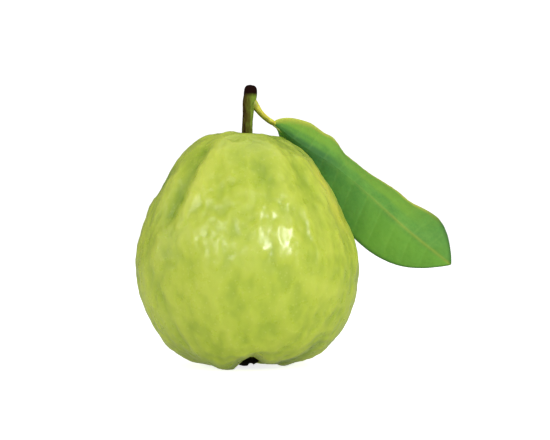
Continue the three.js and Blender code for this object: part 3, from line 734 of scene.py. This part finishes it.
class Midrib:
    """The smooth line through a few points, by its share of length."""

    def __init__(self, points, steps=60):
        ends = [2 * points[0] - points[1], *points, 2 * points[-1] - points[-2]]
        self.places = [points[0]]
        for a, b, c, d in zip(ends, ends[1:], ends[2:], ends[3:]):
            for step in range(1, steps + 1):
                t = step / steps
                square = (2 * a - 5 * b + 4 * c - d) * t**2
                cube = (3 * b - a - 3 * c + d) * t**3
                self.places.append(0.5 * (2 * b + (c - a) * t + square + cube))
        self.lengths = [0]
        for start, end in zip(self.places, self.places[1:]):
            self.lengths.append(self.lengths[-1] + (end - start).length)

    def at(self, share):
        """The place at a share of the length, and the way the line runs there."""
        goal = max(0, min(1, share)) * self.lengths[-1]
        i = next((i for i, length in enumerate(self.lengths[1:]) if length >= goal), len(self.lengths) - 2)
        start, end = self.places[i], self.places[i + 1]
        part = (goal - self.lengths[i]) / (self.lengths[i + 1] - self.lengths[i])
        return start.lerp(end, part), (end - start).normalized()


def blade_fold(share, column):
    """One of the blade's fold angles in radians, eased between the stops of BLADE_FOLDS."""
    low, high = next(pair for pair in zip(BLADE_FOLDS, BLADE_FOLDS[1:]) if share <= pair[1][0])
    t = max(0, min(1, (share - low[0]) / (high[0] - low[0])))
    t = t * t * (3 - 2 * t)
    return math.radians(low[column] + (high[column] - low[column]) * t)


def blade_half_width(share):
    """Half of the blade's width in mm: the foot is round and the tip runs to a point."""
    if share < BLADE_WIDEST:
        rise = math.sin(math.pi / 2 * share / BLADE_WIDEST) ** FOOT_ROUNDNESS
    else:
        rise = 1 - ((share - BLADE_WIDEST) / (1 - BLADE_WIDEST)) ** TIP_ROUNDNESS
    return BLADE_TIP + (BLADE_HALF_WIDTH - BLADE_TIP) * rise


midrib = Midrib([Vector(point) for point in BLADE_LINE])
BLADE_LENGTH = midrib.lengths[-1]


def blade_point(row, across):
    """A place on the blade's middle surface, its normal, how near a side vein is, and how far the midrib.

    The fold, the veins and the swellings between them begin softly, over a few mm from the midrib.
    """
    share = min(1, row + VEIN_SLOPE * abs(across) * row * (1 - row))
    centre, forward = midrib.at(share)
    face = Vector((0, -1, 0))
    face = (face - face.dot(forward) * forward).normalized()
    upper = across < 0
    outward = forward.cross(face) * (-1 if upper else 1)
    start = blade_fold(share, 1 if upper else 3)
    turn = blade_fold(share, 2 if upper else 4) * abs(across)
    reach = abs(across) * blade_half_width(share)
    if not upper:
        opened = min(1, share / LOWER_FOOT_END)
        reach *= LOWER_FOOT + (1 - LOWER_FOOT) * opened * opened * (3 - 2 * opened)
    place = centre + reach * (math.cos(start + turn / 2) * outward + math.sin(start + turn / 2) * face)
    lean = (start + turn) * min(1, reach / 1.5)
    normal = math.cos(lean) * face - math.sin(lean) * outward
    between = VEIN_PAIRS * row - 0.5
    off_vein = (between - round(between)) * BLADE_LENGTH / VEIN_PAIRS
    inner = (1 - across**4) * min(1, row * 8)
    vein = math.exp(-((off_vein / VEIN_WIDTH) ** 2)) * inner * min(1, reach / 0.8)
    quilt = QUILT_HEIGHT * (1 - math.exp(-((off_vein / QUILT_WIDTH) ** 2))) * inner * min(1, reach / 3)
    groove = MIDRIB_GROOVE * math.exp(-((reach / MIDRIB_WIDTH) ** 2)) * (1 - 0.6 * share)
    ripple = sum(height * noise.noise(place * pace) for height, pace in RIPPLES)
    wave = WAVE_HEIGHT * across**2 * math.sin(share * WAVE_PACE + (WAVE_SHIFT if upper else 0))
    wave *= min(1, share * 2) * (1 - share)
    place += normal * (quilt + ripple * min(1, reach / 4) + wave - VEIN_DEPTH * vein - groove)
    return place, normal, vein, reach


def blade_mesh():
    """The blade as a closed skin: its face, its back and the thin edge between them."""
    mesh = bpy.data.meshes.new("leaf_blade_fine")
    even = [2 * column / BLADE_COLUMNS - 1 for column in range(BLADE_COLUMNS + 1)]
    spread = [math.copysign(abs(across) ** COLUMN_SPREAD, across) for across in even]
    marks = [(row / BLADE_ROWS, across) for row in range(BLADE_ROWS + 1) for across in spread]
    sites = [blade_point(row, across) for row, across in marks]
    vertices = []
    for side in (1, -1):
        for (place, normal, _, _), (_, across) in zip(sites, marks):
            thick = BLADE_THICKNESS / 2 * (1 - EDGE_THINNING * across**6)
            vertices.append(CORE + (place + side * thick * normal) * MM)
    per_side = len(sites)
    stride = BLADE_COLUMNS + 1
    faces = []
    for row in range(BLADE_ROWS):
        for column in range(BLADE_COLUMNS):
            a = row * stride + column
            faces.append((a, a + stride, a + stride + 1, a + 1))
            faces.append((per_side + a, per_side + a + 1, per_side + a + stride + 1, per_side + a + stride))
    rim = list(range(stride))
    rim += [row * stride + BLADE_COLUMNS for row in range(1, BLADE_ROWS + 1)]
    rim += [BLADE_ROWS * stride + column for column in range(BLADE_COLUMNS - 1, -1, -1)]
    rim += [row * stride for row in range(BLADE_ROWS - 1, 0, -1)]
    for a, b in zip(rim, rim[1:] + rim[:1]):
        faces.append((a, b, per_side + b, per_side + a))
    mesh.from_pydata(vertices, [], faces)
    for polygon in mesh.polygons:
        polygon.use_smooth = True
        polygon.material_index = 1 if min(polygon.vertices) >= per_side else 0
    shades = {
        "vein": [vein for _, _, vein, _ in sites],
        "midrib": [math.exp(-((reach / 0.6) ** 2)) for _, _, _, reach in sites],
        "margin": [
            max(0, 1 - (1 - abs(u)) * blade_half_width(row) / (YELLOW_MARGIN if u < 0 else DARK_MARGIN))
            for row, u in marks
        ],
        "along": [row for row, _ in marks],
        "across": [across for _, across in marks],
    }
    for label, values in shades.items():
        mesh.attributes.new(label, "FLOAT", "POINT").data.foreach_set("value", values * 2)
    return mesh


# The leaf's colour in its parts: how far along it each begins and ends, how far across (the upper half is
# negative), its strength and its colour. Each fades in and out over a fifth of the leaf. All but the last are
# painted light and shade: the upper half is painted lighter near the foot and in the middle, where it turns
# up to the light; a dark band along the fold of the midrib near the foot and the lower half by the fruit are
# painted shade; and the far end of the lower half is painted lighter. The last makes the far end of the upper
# half darker.
LEAF_FADE = 0.1
LEAF_TINTS_AND_PAINTED_LIGHT = [
    (-0.2, 0.32, -1.2, -0.45, 0.75, "#82AE38"),
    (0.02, 0.36, -0.2, 0.3, 0.8, "#386C38"),
    (0.1, 0.62, 0.1, 1.2, 0.4, "#4E8C45"),
    (0.36, 0.75, -1.2, -0.35, 0.6, "#7CA833"),
    (0.55, 1.2, 0.1, 1.2, 0.5, "#7AB23C"),
    (0.8, 1.2, -1.2, 0.0, 0.4, "#4F8A30"),
]


def leaf_face():
    """The leaf's face: leathery, mid green with a soft gloss, its veins faintly paler, its margin a thin line
    that is yellow above and dark below. Painted light and shade lie over its parts."""
    material, tree, shader, place = new_material("guava leaf, face")
    across, along, vein, rib, margin = (
        add(tree, "ShaderNodeAttribute", attribute_name=label).outputs["Fac"]
        for label in ("across", "along", "vein", "midrib", "margin")
    )
    cloud = add(tree, "ShaderNodeTexNoise", {"Vector": place, "Scale": 1 / (9 * MM), "Detail": 4.0})
    green = add(tree, "ShaderNodeValToRGB", {"Fac": cloud}, {0.3: "#548C36", 0.5: "#62993B", 0.7: "#71A640"})
    fine = add(tree, "ShaderNodeTexNoise", {"Vector": place, "Scale": 1 / (1.1 * MM), "Detail": 3.0})
    netted = add(tree, "ShaderNodeValToRGB", {"Fac": fine}, {0.35: "#4F8636", 0.7: "#76A943"})
    colour = add(tree, "ShaderNodeMix", {"Factor": 0.25, "A": green, "B": netted}, data_type="RGBA")
    # The parts' colours, mostly painted light and shade of the blade's fold and of its halves.
    layers = []
    for start, end, low, high, strength, tint in LEAF_TINTS_AND_PAINTED_LIGHT:
        part = strength
        for value, edge, way in ((along, start, 1), (along, end, -1), (across, low, 1), (across, high, -1)):
            inside = add(tree, "ShaderNodeMapRange", {
                "Value": value, "From Min": edge - LEAF_FADE * way, "From Max": edge + LEAF_FADE * way,
            }, interpolation_type="SMOOTHSTEP")
            part = add(tree, "ShaderNodeMath", {0: part, 1: inside}, operation="MULTIPLY")
        layers.append((part, tint))
    pale = add(tree, "ShaderNodeMath", {0: vein, 1: 0.12}, operation="MULTIPLY")
    distal = add(tree, "ShaderNodeMapRange", {
        "Value": along, "From Min": 0.42, "From Max": 0.7, "To Max": 0.45,
    })
    rib = add(tree, "ShaderNodeMath", {0: rib, 1: distal}, operation="MULTIPLY")
    above = add(tree, "ShaderNodeMapRange", {"Value": across, "From Min": 0.1, "From Max": -0.1})
    basal = add(tree, "ShaderNodeMapRange", {
        "Value": along, "From Min": 0.84, "From Max": 0.7, "To Max": 0.9,
    })
    yellow = add(tree, "ShaderNodeMath", {0: margin, 1: above}, operation="MULTIPLY")
    yellow = add(tree, "ShaderNodeMath", {0: yellow, 1: basal}, operation="MULTIPLY")
    edge = add(tree, "ShaderNodeMath", {0: margin, 1: 0.8}, operation="MULTIPLY")
    layers += [(pale, "#8FB852"), (rib, "#A2AA3E"), (edge, "#25581F"), (yellow, "#C9D04E")]
    for share, tint in layers:
        colour = add(tree, "ShaderNodeMix", {
            "Factor": share, "A": colour, "B": linear(tint),
        }, data_type="RGBA")
    bump = add(tree, "ShaderNodeBump", {"Strength": 0.35, "Distance": 0.15 * MM, "Height": fine})
    feed(tree, shader, {
        "Base Color": colour, "Roughness": 0.6, "IOR": 1.42, "Specular IOR Level": 0.2,
        "Subsurface Weight": 0.1, "Subsurface Scale": 0.5 * MM, "Normal": bump,
    })
    return material


def leaf_back():
    """The leaf's back: paler and matt, with fine down."""
    material, tree, shader, place = new_material("guava leaf, back")
    cloud = add(tree, "ShaderNodeTexNoise", {"Vector": place, "Scale": 1 / (3 * MM), "Detail": 4.0})
    colour = add(tree, "ShaderNodeValToRGB", {"Fac": cloud}, {0.3: "#7E9E58", 0.7: "#94B06A"})
    bump = add(tree, "ShaderNodeBump", {"Strength": 0.4, "Distance": 0.15 * MM, "Height": cloud})
    feed(tree, shader, {"Base Color": colour, "Roughness": 0.75, "Sheen Weight": 0.2, "Normal": bump})
    return material


def pale_vein():
    """The veins under the leaf: firm, smooth and yellow-green."""
    material, tree, shader, place = new_material("guava leaf vein")
    cloud = add(tree, "ShaderNodeTexNoise", {"Vector": place, "Scale": 1 / (4 * MM), "Detail": 2.0})
    colour = add(tree, "ShaderNodeValToRGB", {"Fac": cloud}, {0.3: "#A3B061", 0.7: "#C0C57A"})
    feed(tree, shader, {"Base Color": colour, "Roughness": 0.6})
    return material


leaf = bpy.data.objects.new("leaf_surface", blade_mesh())
bpy.context.collection.objects.link(leaf)
leaf.data.materials.append(leaf_face())
leaf.data.materials.append(leaf_back())
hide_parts("leaf_blade")
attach(leaf, "root")

# The veins that stand out under the leaf, each sunk a little way into its back: the midrib, thickest at the
# stalk, and its pairs of side veins.
RIB_STEPS = 30
RIB_END = 0.97  # share of the blade's length
RIB_RADII = (1, 0.2)
RIB_TAPER = 0.7  # power by which it thins
VEIN_STEPS = 12
VEIN_START = 0.03  # shares of the half width
VEIN_SPAN = 0.88
VEIN_RADIUS = 0.28
VEIN_TAPER = 0.6  # share of its radius that a side vein loses
SUNK = 0.12


def under_blade(row, across, radius):
    """A place under the blade where a vein of this radius lies, with that radius."""
    place, normal, _, _ = blade_point(row, across)
    return (place - (BLADE_THICKNESS / 2 + radius - SUNK) * normal, radius)


rib_line = []
for i in range(RIB_STEPS):
    share = i / (RIB_STEPS - 1) * RIB_END
    radius = RIB_RADII[1] + (RIB_RADII[0] - RIB_RADII[1]) * (1 - share) ** RIB_TAPER
    rib_line.append(under_blade(share, 0, radius))
vein_lines = [rib_line]
for pair in range(VEIN_PAIRS):
    for side in (-1, 1):
        vein_line = []
        for i in range(VEIN_STEPS):
            across = side * (VEIN_START + VEIN_SPAN * i / (VEIN_STEPS - 1))
            radius = VEIN_RADIUS * (1 - VEIN_TAPER * i / (VEIN_STEPS - 1))
            vein_line.append(under_blade((pair + 0.5) / VEIN_PAIRS, across, radius))
        vein_lines.append(vein_line)
veins = grow(
    "leaf_veins", twig, vein_lines,
    Sides=8, Step=0.6 * MM, Roughness=0.0, Grain=1 * MM, Core=CORE, Finish=pale_vein(),
)
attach(veins, "root")

# The floor and the light: white paper in soft studio light. A broad lamp in front and one overhead are
# mirrored in the wax as a pale sheen, a small one high on the right as glints, and one grazes the left flank.
FLOOR_HALF = 3.0
FLOOR_WHITE = 0.75
FLOOR_MIRRORED = 0.2  # how white it looks in the wax
TABLE_GLOW = 0.2  # the table is lit from below
PICTURE_GLOW = 0.6  # and the picture's ground is plain white, as its background is
ROOM_LIGHT = 0.57
ROOM_MIRRORED = 0.15
BACKGROUND = 1.1
SOFTBOX_DISTANCE = 1.3

floor_mesh = bpy.data.meshes.new("floor")
corners = [(x * FLOOR_HALF, y * FLOOR_HALF, 0) for x, y in ((-1, -1), (1, -1), (1, 1), (-1, 1))]
floor_mesh.from_pydata(corners, [], [(0, 1, 2, 3)])
floor = bpy.data.objects.new("floor", floor_mesh)
bpy.context.collection.objects.link(floor)
white, tree, shader, _ = new_material("matt white paper")
rays = add(tree, "ShaderNodeLightPath").outputs
shade = add(tree, "ShaderNodeMapRange", {
    "Value": rays["Is Glossy Ray"], "To Min": FLOOR_WHITE, "To Max": FLOOR_MIRRORED,
})
glow = add(tree, "ShaderNodeMath", {
    0: rays["Is Camera Ray"], 1: PICTURE_GLOW, 2: TABLE_GLOW,
}, operation="MULTIPLY_ADD")
feed(tree, shader, {
    "Base Color": shade, "Roughness": 0.9, "Specular IOR Level": 0.0,
    "Emission Color": (1, 1, 1, 1), "Emission Strength": glow,
})
floor_mesh.materials.append(white)

room = bpy.data.worlds.new("room")
room.use_nodes = True
bpy.context.scene.world = room
tree = room.node_tree
rays = add(tree, "ShaderNodeLightPath").outputs
bright = add(tree, "ShaderNodeMapRange", {
    "Value": rays["Is Glossy Ray"], "To Min": ROOM_LIGHT, "To Max": ROOM_MIRRORED,
})
bright = add(tree, "ShaderNodeMix", {"Factor": rays["Is Camera Ray"], "A": bright, "B": BACKGROUND})
feed(tree, tree.nodes["Background"], {"Color": (1, 1, 1, 1), "Strength": bright})


def softbox(name, direction, size, power):
    """A square lamp at SOFTBOX_DISTANCE that faces the middle of the fruit."""
    light = bpy.data.lights.new(name, "AREA")
    light.size = size
    light.energy = power
    lamp = bpy.data.objects.new(name, light)
    middle = CORE + Vector((0, 0, 50)) * MM
    lamp.location = middle + Vector(direction).normalized() * SOFTBOX_DISTANCE
    lamp.rotation_euler = (middle - lamp.location).to_track_quat("-Z", "Y").to_euler()
    bpy.context.collection.objects.link(lamp)
    return lamp


softbox("front", (-0.1, -0.9, 0.35), 1.3, 4.6)
softbox("overhead", (0.1, 0.1, 1), 1.0, 3.4)
softbox("flank", (-0.98, -0.1, 0.36), 0.7, 2)
softbox("fill", (0.9, -0.4, 0.1), 0.8, 3.4).visible_glossy = False
softbox("key", (0.56, -0.68, 0.47), 0.24, 2.8)
softbox("glint", (0.56, -0.68, 0.47), 0.3, 9.5).visible_diffuse = False
softbox("window", (-0.45, -0.78, 0.44), 0.4, 4.5).visible_diffuse = False

bpy.context.scene.view_settings.view_transform = "Standard"
